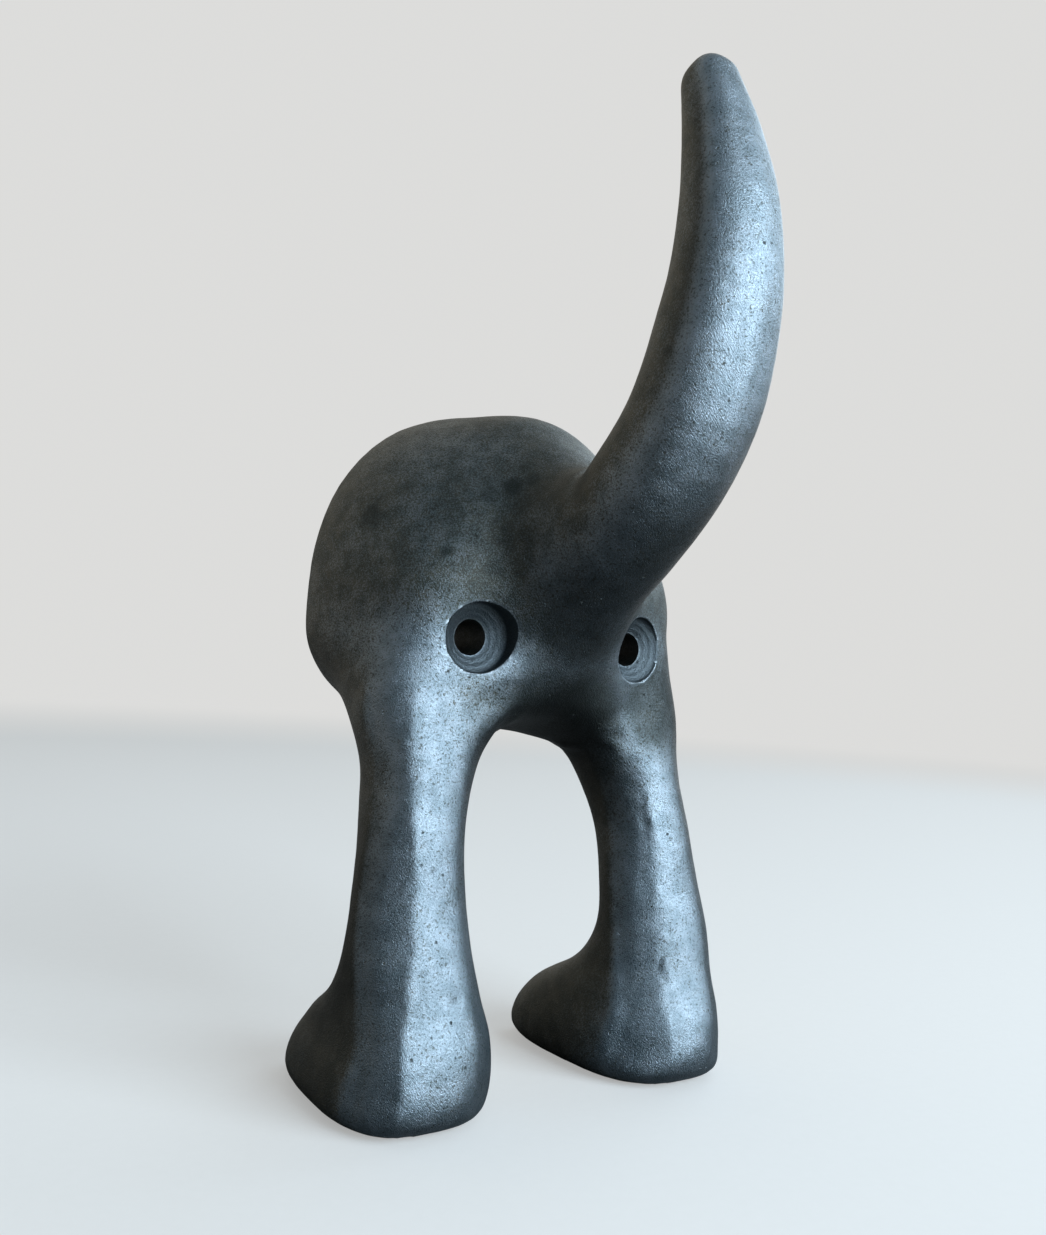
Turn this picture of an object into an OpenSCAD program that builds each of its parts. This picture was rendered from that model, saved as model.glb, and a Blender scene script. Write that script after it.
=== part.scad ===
// Wall hook in the form of a dog's hindquarters, one grey-iron casting.
// Frame: +Z up as the hook hangs, +Y into the wall, the flat back on y = 0,
// the origin midway between the two screw holes.  Units are millimetres.
// The casting is held as six sections that meet face to face on flat planes.

/* [Rump] */
// Width of the rump at its widest
rump_w = 52; // [46:0.5:56]
// Height of the crown above the screw line
rump_crown = 31.5; // [28:0.5:36]
// How far the rump stands off the wall
rump_depth = 23.5; // [22:0.5:26]
// How far the rump runs down below the screw line
rump_drop = 12; // [11:0.5:14]

/* [Tail] */
// Distance from the wall to the outermost point of the tail
tail_reach = 53.5; // [48:0.5:62]
// Height of the tail tip above the screw line
tail_rise = 67.5; // [60:0.5:76]
// Thickness of the tail where it leaves the rump
tail_root = 16.6; // [14:0.2:18]
// Thickness of the tail just below its rounded tip
tail_tip = 6.4; // [5:0.2:8]

/* [Legs] */
// Spacing of the two leg centre lines at mid height
leg_pitch = 37; // [34:0.5:42]
// Width of a leg at its slimmest
leg_w = 12.2; // [11:0.2:14]
// Depth of a leg, wall side to outer side, at its slimmest
leg_t = 12.4; // [11:0.2:14]
// Distance of the soles below the screw line
leg_drop = 56; // [52:0.5:62]
// Clear gap between the slimmest part of a leg and the wall
leg_standoff = 11.6; // [9:0.2:13]

/* [Paws] */
// Width of a paw across the sole
paw_w = 21.4; // [18:0.2:24]
// Length of a paw from the wall to the heel
paw_len = 30.6; // [28:0.2:35]
// Rounding of the edge of the sole
sole_r = 3.2; // [2:0.2:4.6]

/* [Screw holes] */
// Spacing of the two screw holes
hole_pitch = 25; // [22:0.5:28]
// Diameter of the clearance hole
hole_d = 4.5; // [4:0.1:5.5]
// Diameter of the countersink at the surface
csk_d = 8.8; // [8:0.1:9.4]
// Angle of the countersink
csk_angle = 110; // [90:2:118]
// Distance of the countersunk rim from the wall
csk_face = 20.5; // [19:0.5:22]

/* [Hidden] */
$fn = 64;

// planes on which the sections meet
z_thigh = -14;
z_ankle = -0.75 * leg_drop;
y_tail = -25;
margin = 9;

// ---- smooth tables ------------------------------------------------------
// cubic through the stations T = [[x, y], ...], x rising
function seg(T, x, i = 0) =
    (i >= len(T) - 2 || x < T[i + 1][0]) ? i : seg(T, x, i + 1);
function slope(T, i) =
    let (a = max(0, i - 1), b = min(len(T) - 1, i + 1))
    (T[b][1] - T[a][1]) / (T[b][0] - T[a][0]);
function cubic(T, x) =
    let (i = seg(T, x), h = T[i + 1][0] - T[i][0])
    let (s = min(1, max(0, (x - T[i][0]) / h)))
    let (s2 = s * s, s3 = s2 * s)
    (2 * s3 - 3 * s2 + 1) * T[i][1]
    + (s3 - 2 * s2 + s) * h * slope(T, i)
    + (3 * s2 - 2 * s3) * T[i + 1][1]
    + (s3 - s2) * h * slope(T, i + 1);
function fine(T, n = 60) =
    let (a = T[0][0], b = T[len(T) - 1][0])
    [for (k = [0 : n]) let (x = a + (b - a) * k / n) [x, cubic(T, x)]];

// ---- leg and paw stations, sole upwards ---------------------------------
// height, as a share of the drop of the sole
LZ = [for (f = [1, 0.964, 0.90, 0.835, 0.76, 0.665, 0.56, 0.42, 0.28, 0.15, -0.04])
    -f * leg_drop];
// centre line, half width, outer face and wall-side face
lp = leg_pitch / 2;
lx = [lp - 0.4, lp - 0.6, lp - 0.8, lp - 0.7, lp, lp + 0.4, lp + 0.2, lp - 0.4,
    lp - 2, lp - 3.6, lp - 6];
la = [paw_w / 2, paw_w / 2 - 0.1, paw_w / 2 - 0.4, paw_w / 2 - 1.6, leg_w / 2 + 1.9,
    leg_w / 2 + 1.3, leg_w / 2 + 0.7, leg_w / 2, leg_w / 2 + 0.6,
    leg_w / 2 + 3.2, leg_w / 2 + 3.2];
leg_out = leg_standoff + leg_t;
lo = [paw_len - 1.2, paw_len - 0.5, paw_len - 0.1, paw_len, paw_len - 2,
    leg_out + 2.9, leg_out + 1.2, leg_out, leg_out - 1.4, leg_out - 3,
    leg_out - 3.8];
li = [-1.5, -1.5, 0.2, 3.6, 10.4, leg_standoff + 2.4, leg_standoff + 2.3,
    leg_standoff, leg_standoff - 3.8, 2.8, -1];
TX = fine([for (i = [0 : len(LZ) - 1]) [LZ[i], lx[i]]]);
TA = fine([for (i = [0 : len(LZ) - 1]) [LZ[i], la[i]]]);
TO = fine([for (i = [0 : len(LZ) - 1]) [LZ[i], lo[i]]]);
TI = fine([for (i = [0 : len(LZ) - 1]) [LZ[i], li[i]]]);

// ---- tail stations, root to tip -----------------------------------------
reach = tail_reach - 6.2;
TS = [[0, 0.30, 0.03], [1, 0.52, 0.135], [2, 0.74, 0.25], [3, 0.905, 0.385],
    [4, 0.985, 0.55], [5, 1.0, 0.70], [6, 0.965, 0.845], [7, 0.91, 0.97]];
ty = [for (s = TS) [s[0], -s[1] * reach]];
tz = [for (s = TS) [s[0], s[2] * (tail_rise - 1)]];
tail_r = tail_root / 2;
tip_r = tail_tip / 2;
tr = [for (s = [[0, 0], [1, 0.06], [2, 0.15], [3, 0.27], [4, 0.40], [5, 0.57],
    [6, 0.78], [7, 1]]) [s[0], tail_r + (tip_r - tail_r) * s[1]]];
function tail_c(s) = [0, cubic(ty, s), cubic(tz, s)];
function tail_dir(s) =
    let (d = tail_c(min(7, s + 0.02)) - tail_c(max(0, s - 0.02))) d / norm(d);
function tail_rad(s) = cubic(tr, s);

// ---- the blended body ---------------------------------------------------
function smin(a, b, k) =
    let (h = max(k - abs(a - b), 0) / k) min(a, b) - h * h * k / 4;
dome_z = 4;
// squareness of the upper half of the rump seen from the front, 2 being an ellipse
DQ = 2.22;
function f_dome(p) =
    let (rz = p[2] > dome_z ? rump_crown - dome_z : rump_drop + dome_z)
    let (q = [p[0], p[1], p[2] - dome_z])
    let (r = [rump_w / 2, rump_depth + 3 * min(1, max(-0.5, p[2] / 16)), rz])
    let (a = [q[0] / r[0], q[1] / r[1],
        q[2] > 0 ? q[2] / r[2] : -pow(-q[2] / r[2], 1.7)])
    let (b = [a[0] / r[0], a[1] / r[1], a[2] / r[2]])
    let (m = q[2] > 0 ? pow(pow(abs(a[0]), DQ) + pow(a[2], DQ), 1 / DQ) : norm([a[0], a[2]]))
    let (k0 = max(norm([m, a[1]]), 0.001), k1 = max(norm(b), 0.00001))
    k0 * (k0 - 1) / k1;
// squareness of the leg and paw sections, 2 being a plain ellipse
SQ = 2.8;
leg_top = LZ[len(LZ) - 1];
function f_leg(x, y, z) =
    let (o = -lookup(z, TO), i = -lookup(z, TI), a = lookup(z, TA))
    let (b = (i - o) / 2, u = (x - lookup(z, TX)) / a, v = (y - (o + i) / 2) / b)
    let (w = max(0, z - leg_top) / min(a, b))
    let (n = pow(pow(abs(u), SQ) + pow(abs(v), SQ) + pow(w, SQ), 1 / SQ))
    (n - 1) * min(a, b);
root_s = [0, 0.8, 1.6, 2.4];
root_c = [for (s = root_s) tail_c(s)];
root_r = [for (s = root_s) tail_rad(s)];
function f_cap(p, a, b, ra, rb) =
    let (d = b - a, t = min(1, max(0, (p - a) * d / (d * d))))
    norm(p - a - d * t) - ra - (rb - ra) * t;
function f_root(p) = min([for (i = [0 : 2])
    f_cap(p, root_c[i], root_c[i + 1], root_r[i], root_r[i + 1])]);
// ridge from the crown down into the upper side of the tail
croup = [[0, -10, rump_crown - 12], [0, -22, rump_crown - 17.8]];
function f_croup(p) = f_cap(p, croup[0], croup[1], 10.6, 8.4);
function body(p) =
    let (legs = smin(f_leg(p[0], p[1], p[2]), f_leg(-p[0], p[1], p[2]), 7))
    let (arch = min(1, max(0, (13 - abs(p[0])) / 6)) * min(1, max(0, -p[2] / 8)))
    smin(smin(smin(f_dome(p), f_croup(p), 4), legs, 5 + 6 * arch), f_root(p), 5.5);

// distance from o along the unit vector d to the surface
function walk(o, d, r, n) = n == 0 ? r : walk(o, d, r - 0.85 * body(o + r * d), n - 1);
function hit(o, d, n = 14) =
    let (r0 = walk(o, d, 0, n), f0 = body(o + r0 * d))
    let (r1 = r0 - f0, f1 = body(o + r1 * d))
    abs(f1 - f0) < 0.000001 ? r1 : r1 - f1 * min(3, max(0.2, (r1 - r0) / (f1 - f0)));

// ---- lofting ------------------------------------------------------------
// closed skin through rings of equal length, flat caps at both ends
module skin(R) {
    n = len(R[0]);
    m = len(R);
    pts = [for (r = R) for (p = r) p];
    side = [for (j = [0 : m - 2]) for (i = [0 : n - 1])
        let (a = j * n + i, b = j * n + (i + 1) % n, c = a + n, d = b + n)
        each [[a, b, d], [a, d, c]]];
    foot = [[for (i = [0 : n - 1]) n - 1 - i]];
    head = [[for (i = [0 : n - 1]) (m - 1) * n + i]];
    polyhedron(points = pts, faces = concat(foot, side, head), convexity = 6);
}

// ---- rump: rays from a point inside, rim on the wall to the tail root ---
NA = 80;
NB = 28;
hub = [0, -8, -1];
function half(i) = i <= NA / 2 ? i : NA - i;
function rim_pt(i) =
    let (t = 90 - i * 360 / NA, d = [cos(t), 0, sin(t)])
    let (lim = d[2] < 0 ? (-z_thigh + margin) / -d[2] : 1000)
    min(lim, hit([0, 0, 0], d)) * d;
root_z = cubic([for (s = [0 : 7]) [ -ty[s][1] - s * 0.0001, tz[s][1]]], -y_tail);
function mouth_pt(i) =
    let (t = 90 - i * 360 / NA, d = [cos(t), 0, sin(t)], o = [0, y_tail, root_z])
    o + hit(o, d) * d;
rim_h = [for (i = [0 : NA / 2]) rim_pt(i)];
mouth_h = [for (i = [0 : NA / 2]) mouth_pt(i)];
function arc_dir(a, b, t) =
    let (w = acos(min(1, a * b)))
    (sin((1 - t) * w) * a + sin(t * w) * b) / sin(w);
function shell_pt(i, t) =
    let (a = rim_h[i] - hub, b = mouth_h[i] - hub)
    let (d = arc_dir(a / norm(a), b / norm(b), t))
    let (lim = d[2] < 0 ? (hub[2] - z_thigh + margin) / -d[2] : 1000)
    hub + min(lim, hit(hub, d, 18)) * d;
function flip(p) = [-p[0], p[1], p[2]];
function whole(h) = [for (i = [0 : NA - 1]) i <= NA / 2 ? h[i] : flip(h[NA - i])];
shell = concat([whole(rim_h)],
    [for (j = [1 : NB - 1]) whole([for (i = [0 : NA / 2]) shell_pt(i, j / NB)])],
    [whole(mouth_h)]);

module hole(s) {
    translate([s * hole_pitch / 2, 1, 0]) rotate([90, 0, 0])
        cylinder(h = 40, d = hole_d);
    deep = (csk_d - hole_d) / 2 / tan(csk_angle / 2);
    translate([s * hole_pitch / 2, -csk_face + deep, 0]) rotate([90, 0, 0])
        cylinder(h = deep, d1 = hole_d, d2 = csk_d);
    translate([s * hole_pitch / 2, -csk_face, 0]) rotate([90, 0, 0])
        cylinder(h = 12, d = csk_d);
}

module rump() {
    color([0.30, 0.32, 0.34]) difference() {
        skin(shell);
        translate([-60, -60, z_thigh - 40]) cube([120, 120, 40]);
        hole(-1);
        hole(1);
    }
}

// ---- tail ---------------------------------------------------------------
s_mouth = 1 + (-y_tail - -ty[1][1]) / (-ty[2][1] - -ty[1][1]);
NT = 24;
// the section turns from round at the rump to a softly squared one
function tail_sq(s) = 2 + 0.6 * min(1, max(0, (s - s_free) / 1.5));
function flat(t, e) = pow(pow(abs(cos(t)), e) + pow(abs(sin(t)), e), -1 / e);
function tail_ring(s) =
    let (c = tail_c(s), d = tail_dir(s), u = [0, -d[2], d[1]], e = tail_sq(s))
    [for (i = [0 : NA - 1]) let (t = 90 - i * 360 / NA, r = tail_rad(s) * flat(t, e))
        c + r * cos(t) * [1, 0, 0] - r * sin(t) * u];
tail_mouth = whole(mouth_h);
function tip_ring(q) =
    let (c = tail_c(7), d = tail_dir(7), u = [0, -d[2], d[1]])
    let (h = tip_r * sin(q), e = tail_sq(7))
    [for (i = [0 : NA - 1])
        let (t = 90 - i * 360 / NA, k = tip_r * cos(q) * flat(t, e))
        c + h * d + k * cos(t) * [1, 0, 0] - k * sin(t) * u];

// planes turning from the mouth, parallel to the wall, to square with the tail
s_free = s_mouth + 0.8;
function neck_pt(i, k) =
    let (c = tail_c(s_mouth + 0.8 * k), d = tail_dir(s_free))
    let (w = (90 - atan2(-d[1], d[2])) * pow(k, 1.6))
    let (t = 90 - i * 360 / NA, u = [0, sin(w), cos(w)])
    let (e = cos(t) * [1, 0, 0] + sin(t) * u)
    c + hit(c, e) * e;

module tail() {
    color([0.36, 0.38, 0.41]) skin(concat([tail_mouth],
        [for (k = [0.2, 0.4, 0.6, 0.8])
            whole([for (i = [0 : NA / 2]) neck_pt(i, k)])],
        [for (j = [0 : NT]) tail_ring(s_free + (7 - s_free) * j / NT)],
        [for (q = [18, 36, 54, 70, 82]) tip_ring(q)]));
}

// ---- legs and paws ------------------------------------------------------
NL = 48;
function leg_ring(z) =
    let (o = [lookup(z, TX), -(lookup(z, TO) + lookup(z, TI)) / 2, z])
    [for (i = [0 : NL - 1]) let (t = -i * 360 / NL, d = [cos(t), sin(t), 0])
        o + hit(o, d) * d];
// the toes turn in a little towards each other
function toe_in(z) = 0.06 * min(1, max(0, (z_ankle - z) / 6));
function paw_ring(z, inset) =
    let (o = -lookup(z, TO), i = -lookup(z, TI), a = lookup(z, TA) - inset)
    let (b = (i - o) / 2 - inset, x = lookup(z, TX), y = (o + i) / 2)
    [for (k = [0 : NL - 1]) let (t = -k * 360 / NL, c = cos(t), s = sin(t))
        let (n = pow(pow(abs(c / a), SQ) + pow(abs(s / b), SQ), -1 / SQ))
        [x + n * c - toe_in(z) * n * s, y + n * s, z]];
ankle = paw_ring(z_ankle, 0);

module leg() {
    n = 17;
    skin(concat([ankle],
        [for (j = [1 : n]) leg_ring(z_ankle + (z_thigh - z_ankle) * j / n)]));
}

module paw() {
    z0 = -leg_drop;
    z1 = z0 + sole_r;
    difference() {
        skin(concat(
            [for (q = [0, 18, 36, 54, 72])
                paw_ring(z1 - sole_r * cos(q), sole_r * (1 - sin(q)))],
            [for (j = [0 : 10]) paw_ring(z1 + (z_ankle - z1) * j / 10, 0)]));
        translate([-20, 0, z0 - 5]) cube([80, 20, 40]);
    }
}

module left_leg() {
    color([0.33, 0.35, 0.38]) mirror([1, 0, 0]) leg();
}

module right_leg() {
    color([0.33, 0.35, 0.38]) leg();
}

module left_paw() {
    color([0.28, 0.30, 0.32]) mirror([1, 0, 0]) paw();
}

module right_paw() {
    color([0.28, 0.30, 0.32]) paw();
}

rump();
tail();
left_leg();
right_leg();
left_paw();
right_paw();
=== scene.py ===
"""Wall coat hook, a dog's hindquarters in cast iron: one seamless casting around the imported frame.

Lengths are in millimetres until the finished mesh is scaled to metres.
"""
import math

import bpy
import numpy as np
from mathutils import Matrix, Vector


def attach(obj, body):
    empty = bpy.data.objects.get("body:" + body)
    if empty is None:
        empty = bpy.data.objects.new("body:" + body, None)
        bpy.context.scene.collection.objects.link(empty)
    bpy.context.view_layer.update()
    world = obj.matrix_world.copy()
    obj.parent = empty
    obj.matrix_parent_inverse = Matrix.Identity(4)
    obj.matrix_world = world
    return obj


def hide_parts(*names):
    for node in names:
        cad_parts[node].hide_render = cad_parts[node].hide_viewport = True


MM = 0.001
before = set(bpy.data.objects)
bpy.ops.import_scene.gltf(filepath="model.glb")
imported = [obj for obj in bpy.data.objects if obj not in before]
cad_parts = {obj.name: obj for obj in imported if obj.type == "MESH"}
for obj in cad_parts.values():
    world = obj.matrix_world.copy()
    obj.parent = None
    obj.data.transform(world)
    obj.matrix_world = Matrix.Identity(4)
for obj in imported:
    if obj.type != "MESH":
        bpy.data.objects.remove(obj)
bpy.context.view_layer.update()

# ---- driving dimensions, the same as in the CAD source -------------------------------------
TAIL_REACH = 53.5
TAIL_RISE = 67.5
TAIL_ROOT = 16.6
TAIL_TIP = 6.4
LEG_PITCH = 37.0
LEG_W = 12.2
LEG_T = 12.4
LEG_DROP = 56.0
LEG_STANDOFF = 11.6
PAW_W = 21.4
PAW_LEN = 30.6
HOLE_PITCH = 25.0
HOLE_D = 4.5
CSK_D = 8.8
CSK_ANGLE = math.radians(110)
CSK_FACE = 20.5

# ---- worked out from them ------------------------------------------------------------------
HOLE_X = HOLE_PITCH / 2
HOLE_R = HOLE_D / 2
CSK_R = CSK_D / 2
CSK_Y = -CSK_FACE
SOLE_Z = -LEG_DROP


def leg_stations():
    """Height, centre line, half width and outer face of the right leg, from the sole upwards."""
    mid = LEG_PITCH / 2
    paw = PAW_W / 2
    slim = LEG_W / 2
    out = LEG_STANDOFF + LEG_T
    rows = np.array([
        (1.000, mid - 0.4, paw, PAW_LEN - 1.2),
        (0.964, mid - 0.6, paw - 0.1, PAW_LEN - 0.5),
        (0.900, mid - 0.8, paw - 0.4, PAW_LEN - 0.1),
        (0.835, mid - 0.7, paw - 1.6, PAW_LEN),
        (0.760, mid, slim + 1.9, PAW_LEN - 2.0),
        (0.665, mid + 0.4, slim + 1.3, out + 2.9),
        (0.560, mid + 0.2, slim + 0.7, out + 1.2),
        (0.420, mid - 0.4, slim, out),
        (0.280, mid - 2.0, slim + 0.6, out - 1.4),
        (0.150, mid - 3.6, slim + 2.1, out - 3.0)])
    rows[:, 0] *= SOLE_Z
    return rows


def tail_stations():
    """y, z and radius of the tail, from inside the rump to the tip."""
    reach = TAIL_REACH - 6.2
    rise = TAIL_RISE - 1
    root_r = TAIL_ROOT / 2
    tip_r = TAIL_TIP / 2
    shares = [(0.30, 0.03, 0.0), (0.52, 0.135, 0.06), (0.74, 0.25, 0.15), (0.905, 0.385, 0.27),
              (0.985, 0.55, 0.40), (1.0, 0.70, 0.57), (0.965, 0.845, 0.78), (0.91, 0.97, 1.0)]
    return np.array([(-a * reach, b * rise, root_r + (tip_r - root_r) * c) for a, b, c in shares])


LEG = leg_stations()
TAIL = tail_stations()
# the ridge down the front of each leg: its offset towards -X from the leg's centre line
RIDGE_Z = [-50, -46, -42, -36, -29, -23, -16, -10]
LEFT_RIDGE = [6.0, 5.6, 3.9, 2.7, 2.3, 3.2, 4.9, 5.2]
RIGHT_RIDGE = [3.0, 2.9, 3.1, 3.0, 2.6, 3.0, 2.4, 1.8]

VOXEL = 0.46
# the skin is worked a little past the wall plane, and trimmed there at the end
LAP = 3.0


# ---- small helpers -------------------------------------------------------------------------
def ramp(a, b, x):
    """0 below a, 1 above b, smooth between; falls instead where a is above b."""
    t = np.clip((x - a) / (b - a), 0.0, 1.0)
    return t * t * (3 - 2 * t)


def flow(x, stations, values, soft=1.5):
    """Values between the stations, with their corners rounded over that length."""
    grid = np.arange(min(stations) - 4 * soft, max(stations) + 4 * soft, 0.25)
    reach = np.arange(-3 * soft, 3 * soft + 0.01, 0.25)
    bell = np.exp(-(reach / soft) ** 2)
    line = np.interp(grid, stations, values)
    line = np.convolve(np.pad(line, len(reach) // 2, mode="edge"), bell / bell.sum(), "valid")
    return np.interp(x, grid, line[:len(grid)])


def soft_min(a, b, k):
    """The smaller of a and b, blended where they differ by less than k."""
    h = np.maximum(k - np.abs(a - b), 0) / k
    return np.minimum(a, b) - h * h * k / 4


def value_noise(p, size, seed):
    """Smooth noise between -1 and 1 with features of that size."""
    q = p / size
    i = np.floor(q).astype(np.int64)
    f = q - i
    f = f * f * (3 - 2 * f)
    out = np.zeros(len(p))
    for dx in (0, 1):
        for dy in (0, 1):
            for dz in (0, 1):
                h = ((i[:, 0] + dx) * 73856093 ^ (i[:, 1] + dy) * 19349663
                     ^ (i[:, 2] + dz) * 83492791 ^ seed * 2654435761)
                h = (h ^ (h >> 13)) * 1274126177 & 0x7FFFFFFF
                h = (h ^ (h >> 16)) & 0xFFFF
                w = (np.where(dx, f[:, 0], 1 - f[:, 0]) * np.where(dy, f[:, 1], 1 - f[:, 1])
                     * np.where(dz, f[:, 2], 1 - f[:, 2]))
                out += w * (h / 32767.5 - 1)
    return out


def from_hole_axis(v):
    """Distance of each vertex from the axis of the nearer screw hole."""
    return np.minimum(np.hypot(v[:, 0] - HOLE_X, v[:, 2]), np.hypot(v[:, 0] + HOLE_X, v[:, 2]))


def from_point(v, p):
    return np.linalg.norm(v - np.array(p), axis=1)


class Skin:
    """Vertices, edges and triangles of the casting as arrays, in millimetres."""

    def __init__(self, mesh):
        n = len(mesh.vertices)
        self.v = np.empty(n * 3)
        mesh.vertices.foreach_get("co", self.v)
        self.v = self.v.reshape(-1, 3)
        e = np.empty(len(mesh.edges) * 2, np.int64)
        mesh.edges.foreach_get("vertices", e)
        self.e = e.reshape(-1, 2)
        mesh.calc_loop_triangles()
        t = np.empty(len(mesh.loop_triangles) * 3, np.int64)
        mesh.loop_triangles.foreach_get("vertices", t)
        self.t = t.reshape(-1, 3)
        self.degree = np.bincount(self.e.ravel(), minlength=n)
        self.sole = self.v[:, 2] < SOLE_Z + 0.12
        self.settle()

    def settle(self):
        """The soles are flat."""
        self.v[self.sole, 2] = SOLE_Z

    def mean_of_neighbours(self):
        a, b = self.e.T
        s = np.stack([np.bincount(a, self.v[b, k], len(self.v))
                      + np.bincount(b, self.v[a, k], len(self.v)) for k in range(3)], 1)
        return s / self.degree[:, None]

    def smooth(self, rounds, share=0.5, where=None, swell=0.0):
        """Each round evens the skin out by that share, then swells it by the other."""
        w = 1.0 if where is None else where[:, None]
        for _ in range(rounds):
            self.v += share * w * (self.mean_of_neighbours() - self.v)
            if swell:
                self.v -= swell * w * (self.mean_of_neighbours() - self.v)
            self.settle()

    def fill(self, rounds, where):
        """Hollows are filled and ridges stay."""
        for k in range(rounds):
            if k % 10 == 0:
                n = self.normals()
            step = self.mean_of_neighbours() - self.v
            hollow = (step * n).sum(1) > 0
            self.v += 0.5 * (where * hollow)[:, None] * step
        self.settle()

    def normals(self):
        p = self.v[self.t]
        n = np.cross(p[:, 1] - p[:, 0], p[:, 2] - p[:, 0])
        out = np.stack([sum(np.bincount(self.t[:, c], n[:, k], len(self.v)) for c in range(3))
                        for k in range(3)], 1)
        return out / (np.linalg.norm(out, axis=1)[:, None] + 1e-12)

    def spread(self, x, rounds):
        """A value per vertex, averaged over its neighbours."""
        a, b = self.e.T
        for _ in range(rounds):
            s = np.bincount(a, x[b], len(x)) + np.bincount(b, x[a], len(x))
            x = 0.5 * x + 0.5 * s / self.degree
        return x


def add_mesh(name, verts, faces):
    mesh = bpy.data.meshes.new(name)
    mesh.from_pydata([tuple(p) for p in verts], [], faces)
    obj = bpy.data.objects.new(name, mesh)
    bpy.context.scene.collection.objects.link(obj)
    return obj


def evaluated(obj):
    """The object's mesh with its modifiers applied."""
    bpy.context.view_layer.update()
    dg = bpy.context.evaluated_depsgraph_get()
    return bpy.data.meshes.new_from_object(obj.evaluated_get(dg))


def spun(profile, x, n):
    """Closed solid of revolution about the hole axis at x; profile is (radius, y) pairs."""
    verts, faces = [], []
    for r, y in profile:
        for i in range(n):
            a = 2 * math.pi * i / n
            verts.append((x + r * math.cos(a), y, r * math.sin(a)))
    m = len(profile)
    for j in range(m - 1):
        for i in range(n):
            k = (i + 1) % n
            faces.append((j * n + i, j * n + k, (j + 1) * n + k, (j + 1) * n + i))
    faces.append(tuple(reversed(range(n))))
    faces.append(tuple((m - 1) * n + i for i in range(n)))
    return verts, faces


# ---- one skin over the six sections --------------------------------------------------------
def section_meshes():
    """The six sections in one mesh, their wall faces drawn out past the wall, their holes plugged."""
    verts, faces = [], []
    for name in sorted(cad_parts):
        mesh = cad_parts[name].data
        base = len(verts)
        verts += [tuple(c / MM for c in v.co) for v in mesh.vertices]
        faces += [tuple(base + i for i in p.vertices) for p in mesh.polygons]
        for p in mesh.polygons:
            ring = [verts[base + i] for i in p.vertices]
            if min(y for _, y, _ in ring) < -0.001:
                continue
            # a face against the wall becomes a prism that reaches past it
            low = len(verts)
            k = len(ring)
            verts += [(x, y, z) for y in (-0.01, LAP) for x, _, z in ring]
            faces.append(tuple(low + i for i in range(k)))
            faces.append(tuple(low + k + i for i in reversed(range(k))))
            faces += [(low + i, low + (i + 1) % k, low + k + (i + 1) % k, low + k + i)
                      for i in range(k)]
    plug_r = CSK_R + 0.05
    for side in (-1, 1):
        plug_verts, plug_faces = spun([(plug_r, LAP), (plug_r, CSK_Y)], side * HOLE_X, 48)
        base = len(verts)
        verts += plug_verts
        faces += [tuple(base + i for i in f) for f in plug_faces]
    return verts, faces


def seamless_skin():
    """The sections melted into one skin of even small faces."""
    rough = add_mesh("rough_casting", *section_meshes())
    mod = rough.modifiers.new("voxels", "REMESH")
    mod.mode = "VOXEL"
    mod.voxel_size = VOXEL
    mod.adaptivity = 0.0
    made = Skin(evaluated(rough))
    bpy.data.objects.remove(rough)
    return made


def blend_sections():
    # the plugged screw holes run smoothly into the rump around them
    front = skin.v[:, 1] < -10
    skin.smooth(160, 0.6, np.where(front, ramp(5.6, 4.9, from_hole_axis(skin.v)), 0.0))
    skin.smooth(14, 0.5, swell=0.5)
    # where the rump runs into the legs its rim fades away, and the waist between them is filled
    x = np.abs(skin.v[:, 0])
    y = skin.v[:, 1]
    z = skin.v[:, 2]
    rim = ramp(0, -6, z) * ramp(-21, -16, z) * ramp(13, 17, x) * ramp(-15, -9, y)
    waist = ramp(3, -3, z) * ramp(-34, -26, z) * ramp(12, 16, x)
    skin.smooth(150, 0.5, rim)
    skin.fill(120, waist)


# ---- fettled faces -------------------------------------------------------------------------
def section(e, f, sides, crown):
    """Radius of a polygon with crowned sides along the direction (e, f) from its centre.

    Each of sides is the angle of its normal from the front, its distance, and the rounding
    of the corner it makes with the sides before it.  A crown of 1 makes them flat, 0 round."""
    a = np.arctan2(e, f)
    best = np.full(len(e), 99.0)
    for angle, d, soft in sides:
        c = np.cos(a - np.radians(angle))
        best = soft_min(best, np.where(c > 0.05, d / np.maximum(c, 0.05) ** crown, 99.0), soft)
    return best


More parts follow.
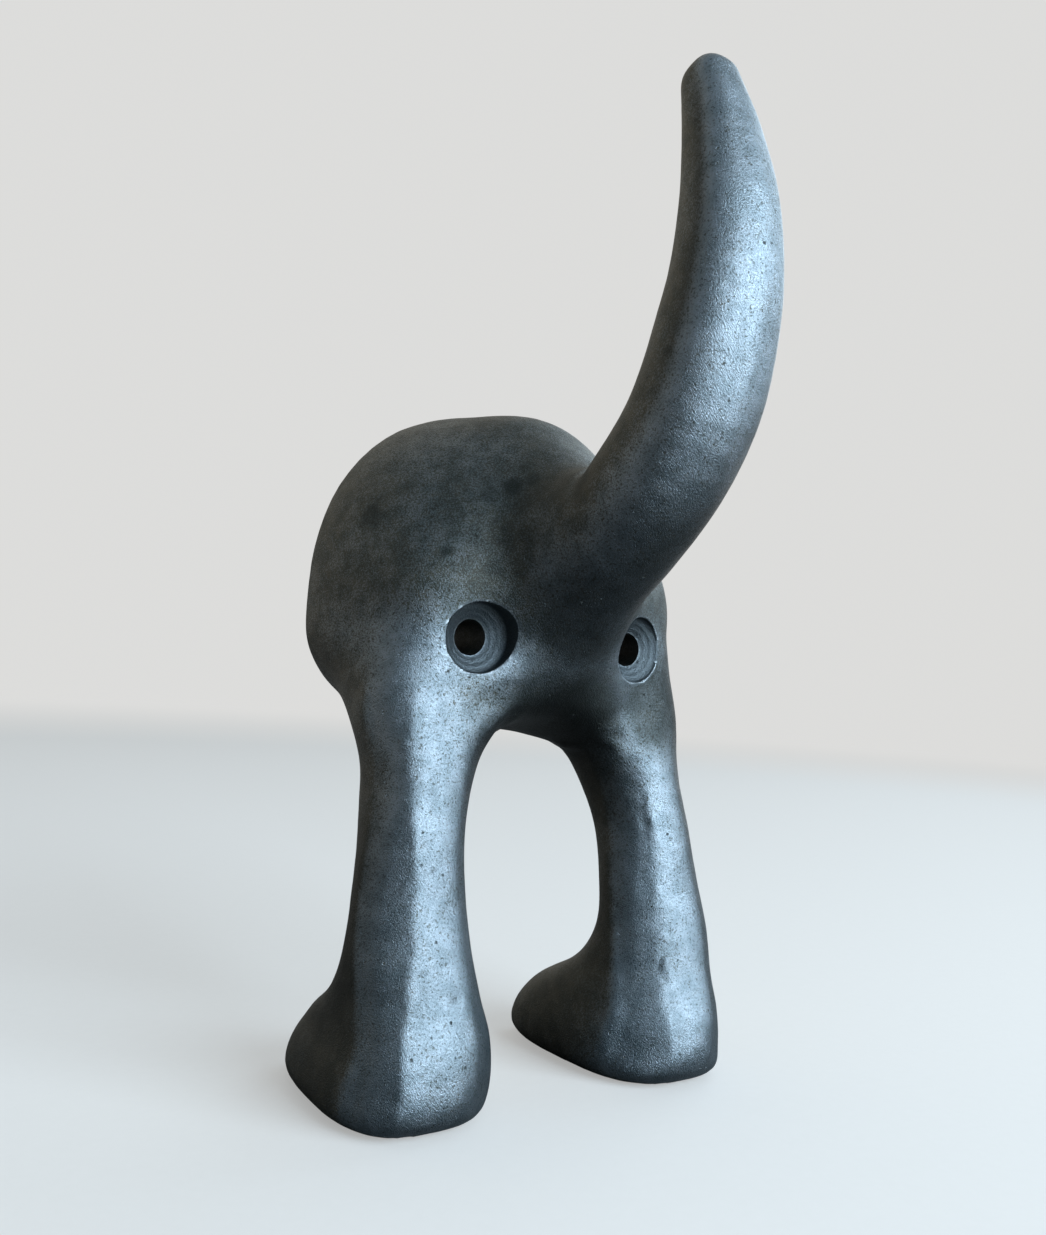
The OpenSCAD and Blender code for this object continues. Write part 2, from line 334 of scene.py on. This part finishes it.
def dress_leg(side, face, ridge_x, top):
    """Flat front, with a chamfer on each side of it, down one leg.

    The front face is turned by the angle face, its ridge is ridge_x from the centre line,
    and the dressing fades out below the height top."""
    v = skin.v
    at = np.where((v[:, 0] * side > 3) & (v[:, 2] < -5) & (v[:, 1] < -1))[0]
    z = v[at, 2]
    cx, a, out = (flow(z, LEG[:, 0], LEG[:, k]) for k in (1, 2, 3))
    b = np.minimum(a, 6.5)
    e = v[at, 0] - side * cx
    f = -v[at, 1] - (out - b)
    r = np.hypot(e, f)
    near_axis = np.abs(e) < a * 1.2

    def reach(angle):
        """How far the section reaches in that direction, at each height."""
        step, low = 0.8, -60
        t = np.radians(angle)
        band = np.round((z - low) / step).astype(int)
        far = np.zeros(band.max() + 1)
        np.maximum.at(far, band[near_axis], (e * np.sin(t) + f * np.cos(t))[near_axis])
        return flow(z, np.arange(len(far)) * step + low, far, 2.0)

    ridge = flow(z, RIDGE_Z, ridge_x) + 0.25 * value_noise(v[at] * [0, 0, 1], 2.2, 11)
    # the heel leans outward on its way down to the sole
    lean = flow(z, [-56, -52.5, -50, -47, -42, -37], [0.0, 0.4, 0.1, -0.6, -0.45, 0.0])
    front_d = b + 0.02 + lean
    # the chamfer passes through the ridge on the front face
    turn = np.radians(face)
    chamfer = np.radians(-41.0)
    on_ridge = (front_d + ridge * np.sin(turn)) / np.cos(turn)
    chamfer_d = -ridge * np.sin(chamfer) + on_ridge * np.cos(chamfer)
    sides = [(face, front_d, 0.1), (-41.0, chamfer_d, 0.2), (-64.0, reach(-64) - 0.1, 2.0),
             (28.0, reach(28) - 0.2, 1.2), (56.0, reach(56), 1.8), (-90.0, reach(-90), 2.0),
             (92.0, reach(92), 2.0)]
    want = section(e, f, sides, 0.82)
    along = ramp(-55.5, -51.5, z) * ramp(top, top - 10, z)
    around = ramp(-0.15, 0.25, f / b) * ramp(1.35, 1.05, np.abs(e) / a)
    step = np.clip(want - r, -1.3, 0.4) * along * around
    v[at, 0] += step * e / np.maximum(r, 0.1)
    v[at, 1] -= step * f / np.maximum(r, 0.1)


def tail_frame(v):
    """For every vertex near the tail: its index, its place along the tail in stations, its
    lateral and outward offset, the tail's radius there and its direction in y and z."""
    k = np.linspace(0, len(TAIL) - 1, 141)
    # the stations joined, with the corners evened out
    line = np.stack([np.interp(k, np.arange(len(TAIL)), TAIL[:, c]) for c in range(3)], 1)
    for _ in range(30):
        line[1:-1] = 0.5 * line[1:-1] + 0.25 * (line[:-2] + line[2:])
    d = np.gradient(line[:, :2], axis=0)
    d /= np.linalg.norm(d, axis=1)[:, None]
    at = np.where((v[:, 1] < -24) & (v[:, 2] > 6))[0]
    p = v[at][:, 1:]
    j = ((p[:, None, :] - line[None, :, :2]) ** 2).sum(2).argmin(1)
    f = (p[:, 0] - line[j, 0]) * -d[j, 1] + (p[:, 1] - line[j, 1]) * d[j, 0]
    return at, k[j], v[at, 0], f, line[j, 2], d[j]


def dress_tail():
    """A flattened outer face and soft edges down the flanks of the tail."""
    at, s, e, f, radius, d = tail_frame(skin.v)
    r = np.hypot(e, f)
    corners = np.array([-135, -92, -66, -1, 46, 90, 140, 182, 225])
    middle = (corners[1:] + corners[:-1]) / 2
    half = np.radians(np.diff(corners) / 2)
    sides = [(m, 1.02 * np.cos(h) ** 0.72, 0.14) for m, h in zip(middle, half)]
    gain = 0.85 * (section(e, f, sides, 0.72) - 0.98) * ramp(2.0, 3.4, s) * ramp(6.7, 5.6, s)
    step = np.clip(gain * radius, -0.6, 0.3)
    u = np.stack([e / np.maximum(r, 0.1), f / np.maximum(r, 0.1)], 1)
    skin.v[at, 0] += step * u[:, 0]
    skin.v[at, 1] += step * u[:, 1] * -d[:, 1]
    skin.v[at, 2] += step * u[:, 1] * d[:, 0]


def round_heels():
    _, y, z = skin.v.T
    skin.smooth(120, 0.5, ramp(-54, -50.5, z) * ramp(-41, -44.5, z) * ramp(-24, -27, y))


skin = seamless_skin()
blend_sections()
round_heels()
dress_leg(-1, -4.0, LEFT_RIDGE, -3)
dress_leg(1, -9.0, RIGHT_RIDGE, -9)
dress_tail()
skin.smooth(1, 0.4)

# ---- hand-made surface: unevenness, a chipped ridge, larger pits ---------------------------
# each is a place, how far it spreads and how deep or high it is
CHIPS = [((15.9, -24.9, -30.9), 0.8, 0.22), ((15.4, -25.2, -32.7), 0.8, 0.22),
         ((16.1, -26.6, -36.6), 1.0, 0.25)]
PITS = [((-19.3, -22.8, -18.6), 0.8, 0.22), ((-19.6, -23.9, -24.5), 0.7, 0.22),
        ((-18.9, -24.4, -27.7), 0.8, 0.25), ((-20.8, -26.9, -38.5), 0.8, 0.2),
        ((-16.6, -27.6, -41.4), 1.1, 0.2), ((-14.6, -22.9, 5.9), 0.9, 0.2),
        ((-4.0, -52.0, 38.0), 0.9, 0.12), ((0.5, -53.0, 40.5), 0.8, 0.12)]
LUMPS = [((-21.9, -20.6, -13.0), 1.2, 0.25), ((-22.2, -24.2, -29.0), 1.0, 0.2),
         ((-14.3, -21.5, -15.0), 0.9, 0.15)]


def unevenness(v):
    """Height above the smooth surface at every vertex."""
    out = (0.09 * value_noise(v, 11.0, 1) + 0.04 * value_noise(v, 5.2, 2)
           + 0.018 * value_noise(v, 2.4, 3) + 0.010 * value_noise(v, 1.2, 4))
    # the ridge of the right leg is chipped
    z = v[:, 2]
    edge_x = np.interp(z, LEG[:, 0], LEG[:, 1]) - np.interp(z, RIDGE_Z, RIGHT_RIDGE)
    on_edge = ramp(1.3, 0.2, np.abs(v[:, 0] - edge_x)) * np.where(v[:, 1] < -20, 1.0, 0.0)
    on_edge *= ramp(-50, -46, z) * ramp(-15, -21, z)
    out += on_edge * (0.13 * value_noise(v, 1.3, 7) + 0.10 * value_noise(v, 0.8, 8) - 0.05)
    for marks, sign in ((CHIPS, -1), (PITS, -1), (LUMPS, 1)):
        for p, size, height in marks:
            out += sign * height * ramp(size, 0.0, from_point(v, p))
    return out


def burr(v):
    """The thin edge raised round each countersink."""
    return 0.10 * np.exp(-((from_hole_axis(v) - CSK_R - 0.15) / 0.35) ** 2) * (v[:, 1] < -10)


away_from_sole = skin.spread(np.where(skin.sole, 0.0, 1.0), 4)
rise = unevenness(skin.v) * away_from_sole + burr(skin.v)
skin.v = skin.v + skin.normals() * rise[:, None]
skin.settle()

# ---- back to a mesh, trimmed at the wall, with the countersinks cut ------------------------
casting = add_mesh("casting", skin.v, [tuple(t) for t in skin.t.tolist()])


def cut(tool):
    """Take the tool's shape out of the casting."""
    mod = casting.modifiers.new("cut", "BOOLEAN")
    mod.operation = "DIFFERENCE"
    mod.solver = "EXACT"
    mod.object = tool
    done = evaluated(casting)
    casting.modifiers.clear()
    casting.data = done
    bpy.data.objects.remove(tool)


def wall_block():
    far = 80.0
    corners = ((-far, -far), (far, -far), (far, far), (-far, far))
    verts = [(x, y, z) for y in (0.0, 2 * LAP) for x, z in corners]
    return add_mesh("wall", verts, [(0, 1, 2, 3), (7, 6, 5, 4), (0, 4, 5, 1), (1, 5, 6, 2),
                                    (2, 6, 7, 3), (3, 7, 4, 0)])


def countersink(side):
    """Cutter for one screw hole: bore, cone with turning marks, straight wall above it."""
    ripples = 9
    wide = CSK_R - HOLE_R
    deep = wide / math.tan(CSK_ANGLE / 2)
    mark = 0.07
    cone = [(HOLE_R + wide * k / ripples,
             CSK_Y + deep * (1 - k / ripples) + (mark if k % 3 == 1 else 0.0))
            for k in range(ripples)]
    bore = [(HOLE_R, 1.0), (HOLE_R, cone[0][1] + 0.3)]
    wall = [(CSK_R, CSK_Y - 0.35 * k) for k in range(14)] + [(CSK_R, CSK_Y - 12.5)]
    return add_mesh("countersink", *spun(bore + cone + wall, side * HOLE_X, 96))


cut(wall_block())
cut(countersink(-1))
cut(countersink(1))
mesh = casting.data
triangles = sum(len(p.vertices) - 2 for p in mesh.polygons)
print("casting", len(mesh.vertices), "vertices", triangles, "triangles")
mesh.polygons.foreach_set("use_smooth", [True] * len(mesh.polygons))

# ---- where the metal is burnished, grimy, stained or machined; painted shade and highlights ---
# painted shade: darker colour where shade falls in the crotch, under the tail, on top of the right
# leg and in a patch above the left hole; each is a place, how far it spreads and how strong it is
PAINTED_SHADE_SPOTS = [((0, -16, -15), 19, 1.0), ((0, -30, 3), 14, 0.7), ((4, -38, 12), 14, 0.65),
             ((3, -20, -11), 13, 1.0), ((17, -22, -7), 10, 0.8), ((-12, -22, 14), 14, 0.4)]
# painted shade on the sides of the legs too, weaker where they are rubbed
PAINTED_FLANK_SHADE = [((-34, -8, -34), 28, 1.0), ((8, -18, -42), 22, 0.6)]
STAINS = [((-22.5, -10.0, 14.3), 2.6, 0.75), ((-9.3, -21.4, 18.9), 1.8, 0.9),
          ((-11.6, -20.1, 18.0), 1.6, 0.5), ((-7.0, -23.0, 19.9), 1.6, 0.45),
          ((-17.1, -19.6, 10.2), 0.9, 0.9), ((-6.6, -46.0, 31.6), 1.0, 0.9)]


def spread_spots(v, spots, ragged=1.0):
    """The strongest of some soft round spots at every vertex."""
    out = np.zeros(len(v))
    for p, size, amount in spots:
        out = np.maximum(out, amount * ramp(size, 0.35 * size, from_point(v, p) * ragged))
    return out


def painted_tail_shade_line(v):
    """Painted shade: a dark line down the left side of the tail, behind its rubbed face."""
    at, s, e, f, _, _ = tail_frame(v)
    turn = np.degrees(np.arctan2(e, f))
    out = np.zeros(len(v))
    out[at] = 0.75 * np.exp(-((turn + 79) / 11) ** 2) * ramp(2.4, 4.0, s) * ramp(7.2, 6.4, s)
    return out


def rim_highlight_mask(made, axis_r):
    """1 on the rim of each countersink, where its wall meets the skin of the rump; a highlight is
    painted there.
    """
    next_r = axis_r.copy()
    for a, b in (made.e.T, made.e.T[::-1]):
        np.maximum.at(next_r, a, axis_r[b])
    on_wall = np.abs(axis_r - CSK_R) < 0.03
    return np.where(on_wall & (next_r > CSK_R + 0.03) & (made.v[:, 1] < -10), 1.0, 0.0)


def wear_and_painted_light_maps(made):
    """The amounts, 0 to 1 at every vertex, that the material reads by name: wear, grime, stains,
    painted shade and a painted highlight.
    """
    v = made.v
    _, y, z = v.T
    normal = made.normals()
    axis_r = from_hole_axis(v)
    hollow = ((made.mean_of_neighbours() - v) * normal).sum(1)
    hollow[axis_r < CSK_R + 0.8] = 0.0
    hollow = made.spread(np.clip(hollow, -0.05, 0.05), 90)
    hip = ramp(-3, 7, z) * ramp(-29, -25, y)
    on_tail = ramp(12, 20, z) * ramp(-27, -33, y)
    outward = -normal[:, 1]
    burnish = ramp(0.0, 0.45, outward + 0.15 * on_tail) * ramp(0.006, -0.002, hollow)
    burnish *= 1 - 0.75 * hip
    # painted shade: the spots listed above and the flanks of the legs
    painted_shade_spots = spread_spots(v, PAINTED_SHADE_SPOTS)
    shade = np.maximum(painted_shade_spots, spread_spots(v, PAINTED_FLANK_SHADE) * (1 - 0.6 * burnish))
    # the turned cone of each countersink; its colour is also darkened as painted shade inside the
    # recess
    turned = ramp(CSK_R + 0.3, CSK_R - 0.05, axis_r) * ramp(HOLE_R - 0.05, HOLE_R + 0.1, axis_r)
    turned[y > -10] = 0.0
    ragged = 1 + 0.35 * value_noise(v, 1.1, 9) + 0.2 * value_noise(v, 0.6, 10)
    # the burnish is lowered in the painted-shade spots, painting shade there too
    return {"burnish": burnish * (1 - 0.6 * painted_shade_spots), "grime": ramp(0.0005, 0.008, hollow),
            "stain": spread_spots(v, STAINS, ragged), "turned": turned,
            "shade": np.maximum(shade, painted_tail_shade_line(v)), "painted_rim_highlight": rim_highlight_mask(made, axis_r)}


def sharp_edges(made):
    """The edges inside the countersinks and against the wall are sharp."""
    inside = (from_hole_axis(made.v)[made.e] < CSK_R - 0.02).all(1)
    inside |= (made.v[made.e][:, :, 1] > -0.01).all(1)
    normals_at = {}
    for p in mesh.polygons:
        for key in p.edge_keys:
            normals_at.setdefault(key, []).append(p.normal)
    sharp = np.zeros(len(made.e), bool)
    for i in np.where(inside)[0]:
        pair = normals_at.get(tuple(sorted(int(k) for k in made.e[i])), [])
        sharp[i] = len(pair) == 2 and pair[0].angle(pair[1], 0.0) > math.radians(28)
    return sharp


made = Skin(mesh)
for key, values in wear_and_painted_light_maps(made).items():
    layer = mesh.attributes.new(key, "FLOAT", "POINT")
    layer.data.foreach_set("value", values.astype(np.float32))
layer = mesh.attributes.new("sharp_edge", "BOOLEAN", "EDGE")
layer.data.foreach_set("value", sharp_edges(made))
mesh.transform(Matrix.Scale(MM, 4))
mesh.update()


# ---- materials -----------------------------------------------------------------------------
class Nodes:
    """Short calls for building a node tree."""

    def __init__(self, tree):
        self.tree = tree
        tree.nodes.clear()

    def add(self, kind, inputs=(), **settings):
        node = self.tree.nodes.new(kind)
        for key, value in settings.items():
            setattr(node, key, value)
        for key, value in dict(inputs).items():
            socket = node.inputs[key]
            if isinstance(value, bpy.types.NodeSocket):
                self.tree.links.new(value, socket)
            else:
                socket.default_value = value
        return node

    def math(self, op, a, b=0.0, clamp=False):
        return self.add("ShaderNodeMath", {0: a, 1: b}, operation=op, use_clamp=clamp).outputs[0]

    def span(self, x, a, b, lo=0.0, hi=1.0):
        """x from a..b smoothly onto lo..hi."""
        return self.add("ShaderNodeMapRange", {0: x, 1: a, 2: b, 3: lo, 4: hi},
                        interpolation_type="SMOOTHSTEP").outputs[0]

    def mix(self, f, a, b):
        """Colour a where f is 0, colour b where it is 1."""
        node = self.add("ShaderNodeMix", data_type="RGBA")
        for socket, value in ((node.inputs[0], f), (node.inputs[6], a), (node.inputs[7], b)):
            if isinstance(value, bpy.types.NodeSocket):
                self.tree.links.new(value, socket)
            else:
                socket.default_value = (*value, 1)
        return node.outputs[2]

    def layer(self, amount, strength, under, over):
        """Colour over laid on colour under by amount times strength."""
        return self.mix(self.math("MULTIPLY", amount, strength), under, over)

    def plus(self, total, amount, strength):
        return self.math("ADD", total, self.math("MULTIPLY", amount, strength))

    def noise(self, at, scale, detail=2.0, rough=0.5):
        return self.add("ShaderNodeTexNoise", {"Vector": at, "Scale": scale, "Detail": detail,
                                               "Roughness": rough}).outputs[0]

    def value(self, name):
        return self.add("ShaderNodeAttribute", attribute_name=name).outputs["Fac"]

    def along(self, p, direction, scale):
        """How far p lies along the direction, times scale."""
        dot = self.add("ShaderNodeVectorMath", {0: p, 1: direction}, operation="DOT_PRODUCT")
        return self.math("MULTIPLY", dot.outputs["Value"], scale)


def new_material(name):
    material = bpy.data.materials.new(name)
    material.use_nodes = True
    return material, Nodes(material.node_tree)


def cast_iron():
    """Iron burnished by rubbing and waxed; noise scales are per millimetre."""
    material, t = new_material("burnished_cast_iron")
    place = t.add("ShaderNodeTexCoord").outputs["Object"]
    p = t.add("ShaderNodeVectorMath", {0: place, "Scale": 1 / MM}, operation="SCALE").outputs[0]
    # clouds of patina, grain of the sand mould, flecks, sparse pits, brush marks
    cloud = t.noise(p, 0.11, 4, 0.6)
    patch = t.noise(p, 0.45, 3, 0.6)
    grain = t.noise(p, 5.4, 3, 0.6)
    fleck = t.span(t.noise(p, 3.4, 1, 0.5), 0.57, 0.66)
    sparkle = t.noise(p, 13.0, 2, 0.6)
    cell = t.add("ShaderNodeTexVoronoi", {"Vector": p, "Scale": 0.75, "Randomness": 1.0})
    chance = t.add("ShaderNodeSeparateColor", {0: cell.outputs["Color"]}).outputs[0]
    ragged = t.math("ADD", cell.outputs["Distance"], t.span(sparkle, 0.3, 0.7, -0.04, 0.04))
    pit = t.math("MULTIPLY", t.span(ragged, 0.16, 0.05), t.span(chance, 0.72, 0.78))
    brushed = Vector((0.62, -0.1, -0.78)).normalized()
    across = brushed.cross(Vector((0, 1, 0))).normalized()
    third = brushed.cross(across)
    stretched = t.add("ShaderNodeCombineXYZ", {0: t.along(p, brushed, 0.7),
                                               1: t.along(p, across, 9.0),
                                               2: t.along(p, third, 9.0)}).outputs[0]
    streak = t.noise(stretched, 1.0, 2, 0.6)

    shine = t.math("ADD", t.value("burnish"), t.span(cloud, 0.35, 0.65, -0.12, 0.12))
    shine = t.math("ADD", shine, t.span(grain, 0.3, 0.7, -0.36, 0.36))
    shine = t.math("SUBTRACT", shine, t.math("MULTIPLY", fleck, 0.55))
    shine = t.math("SUBTRACT", shine, t.math("MULTIPLY", pit, 0.6), clamp=True)
    brown = t.mix(t.span(patch, 0.35, 0.65), (0.052, 0.053, 0.044), (0.082, 0.078, 0.063))
    grey = t.mix(t.span(patch, 0.3, 0.7), (0.165, 0.195, 0.215), (0.235, 0.268, 0.295))
    colour = t.mix(shine, brown, grey)
    colour = t.layer(t.value("grime"), 0.75, colour, (0.034, 0.036, 0.032))
    # painted shade: the crotch, under the tail, the flanks of the legs and a line down the tail
    colour = t.layer(t.value("shade"), 0.85, colour, (0.022, 0.024, 0.022))
    colour = t.layer(t.value("stain"), 0.8, colour, (0.020, 0.024, 0.022))
    # turned countersink cones: their machined finish, darkened as painted shade inside the recess
    colour = t.layer(t.value("turned"), 0.8, colour, (0.085, 0.10, 0.11))
    # a painted highlight along the rim of each countersink
    colour = t.mix(t.value("painted_rim_highlight"), colour, (0.46, 0.50, 0.53))
    rough = t.span(shine, 0.0, 1.0, 0.50, 0.35)
    rough = t.math("ADD", rough, t.span(sparkle, 0.3, 0.7, -0.05, 0.05))

    height = t.math("MULTIPLY", grain, 0.7)
    height = t.plus(height, sparkle, 0.32)
    height = t.plus(height, streak, 0.4)
    height = t.plus(height, pit, -0.9)
    bump = t.add("ShaderNodeBump", {"Strength": 1.0, "Distance": 0.115 * MM, "Height": height})
    shader = t.add("ShaderNodeBsdfPrincipled", {"Metallic": 1.0, "Base Color": colour,
                                                "Roughness": rough, "Normal": bump.outputs[0]})
    t.add("ShaderNodeOutputMaterial", {"Surface": shader.outputs[0]})
    return material


mesh.materials.clear()
mesh.materials.append(cast_iron())
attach(casting, "root")
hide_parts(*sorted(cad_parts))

# ---- floor, light and camera ---------------------------------------------------------------
PALE = (0.72, 0.72, 0.71)


def floor():
    """A pale round floor under the soles that runs out into the pale background."""
    n = 96
    far = 4.0
    ring = [(far * math.cos(2 * math.pi * i / n), far * math.sin(2 * math.pi * i / n),
             SOLE_Z * MM) for i in range(n)]
    obj = add_mesh("floor", ring, [tuple(range(n))])
    material, t = new_material("pale_floor")
    place = t.add("ShaderNodeTexCoord").outputs["Object"]
    away = t.add("ShaderNodeVectorMath", {0: place}, operation="LENGTH").outputs["Value"]
    camera_ray = t.add("ShaderNodeLightPath").outputs["Is Camera Ray"]
    speck = t.noise(place, 900.0, 3)
    tone = t.mix(speck, (0.73, 0.72, 0.705), (0.77, 0.76, 0.745))
    # pale to the camera, dark in the reflections of the metal
    tone = t.mix(camera_ray, (0.08, 0.08, 0.08), tone)
    matt = t.add("ShaderNodeBsdfPrincipled", {"Base Color": tone, "Roughness": 0.75})
    glow = t.add("ShaderNodeEmission", {"Color": (*PALE, 1), "Strength": 1.0})
    # it glows evenly far away, and for the camera by half everywhere, so no lamp whites it out
    evenly = t.math("MAXIMUM", t.span(away, 0.08, 0.9), t.math("MULTIPLY", camera_ray, 0.5))
    both = t.add("ShaderNodeMixShader", {0: evenly, 1: matt.outputs[0], 2: glow.outputs[0]})
    t.add("ShaderNodeOutputMaterial", {"Surface": both.outputs[0]})
    obj.data.materials.append(material)


def sky():
    """Pale to the camera; the metal reflects a dim room with a warm wall behind the hook."""
    world = bpy.data.worlds.new("studio")
    bpy.context.scene.world = world
    world.use_nodes = True
    t = Nodes(world.node_tree)
    direction = t.add("ShaderNodeTexCoord").outputs["Generated"]
    axes = t.add("ShaderNodeSeparateXYZ", {0: direction})
    room = t.mix(t.span(axes.outputs[2], 0.0, 0.55), (0.024, 0.033, 0.042), (0.19, 0.29, 0.37))
    room = t.mix(t.span(axes.outputs[1], -0.1, 0.7), room, (0.62, 0.60, 0.54))
    camera_ray = t.add("ShaderNodeLightPath").outputs["Is Camera Ray"]
    tone = t.mix(camera_ray, room, PALE)
    back = t.add("ShaderNodeBackground", {"Color": tone, "Strength": 1.0})
    t.add("ShaderNodeOutputWorld", {"Surface": back.outputs[0]})


def towards(azimuth, elevation):
    """Unit vector in degrees as the views are named: azimuth 0 is the front, 90 the +X side."""
    a = math.radians(azimuth)
    e = math.radians(elevation)
    return Vector((math.sin(a) * math.cos(e), -math.cos(a) * math.cos(e), math.sin(e)))


def lamp(name, azimuth, elevation, distance, size, watts, colour):
    """A soft panel that faces the rump from that side."""
    away = towards(azimuth, elevation)
    data = bpy.data.lights.new(name, "AREA")
    data.shape = "RECTANGLE"
    data.size, data.size_y = size
    data.energy = watts
    data.color = colour
    obj = bpy.data.objects.new(name, data)
    obj.location = Vector((0, -0.025, 0.0)) + away * distance
    obj.rotation_euler = away.to_track_quat("Z", "Y").to_euler()
    obj.visible_camera = False
    bpy.context.scene.collection.objects.link(obj)


def camera():
    """From the left of the hook, level with it, a little rolled."""
    target = Vector((-9.16, -25.4, 2.7)) * MM
    distance = 134.75 * MM
    roll = math.radians(3.62)
    back = towards(-34.5, -2.5)
    right = (-back).cross(Vector((0, 0, 1))).normalized()
    up = right.cross(-back)
    side = right * math.cos(roll) + up * math.sin(roll)
    rise = up * math.cos(roll) - right * math.sin(roll)
    data = bpy.data.cameras.new("camera")
    data.sensor_width = 36.0
    data.lens = 32.7
    data.clip_start = 0.01
    data.clip_end = 20.0
    obj = bpy.data.objects.new("camera", data)
    obj.matrix_world = Matrix.Translation(target + back * distance) @ Matrix(
        (side, rise, back)).transposed().to_4x4()
    bpy.context.scene.collection.objects.link(obj)
    bpy.context.scene.camera = obj


floor()
sky()
lamp("window", 20, 17, 0.60, (0.50, 0.50), 9.4, (0.70, 0.87, 1.0))
lamp("side_window", 105, 30, 0.70, (0.50, 0.40), 1.6, (0.72, 0.88, 1.0))
lamp("top_softbox", 10, 64, 0.80, (0.70, 0.70), 0.8, (0.95, 0.98, 1.0))
camera()
bpy.context.scene.view_settings.view_transform = "Standard"
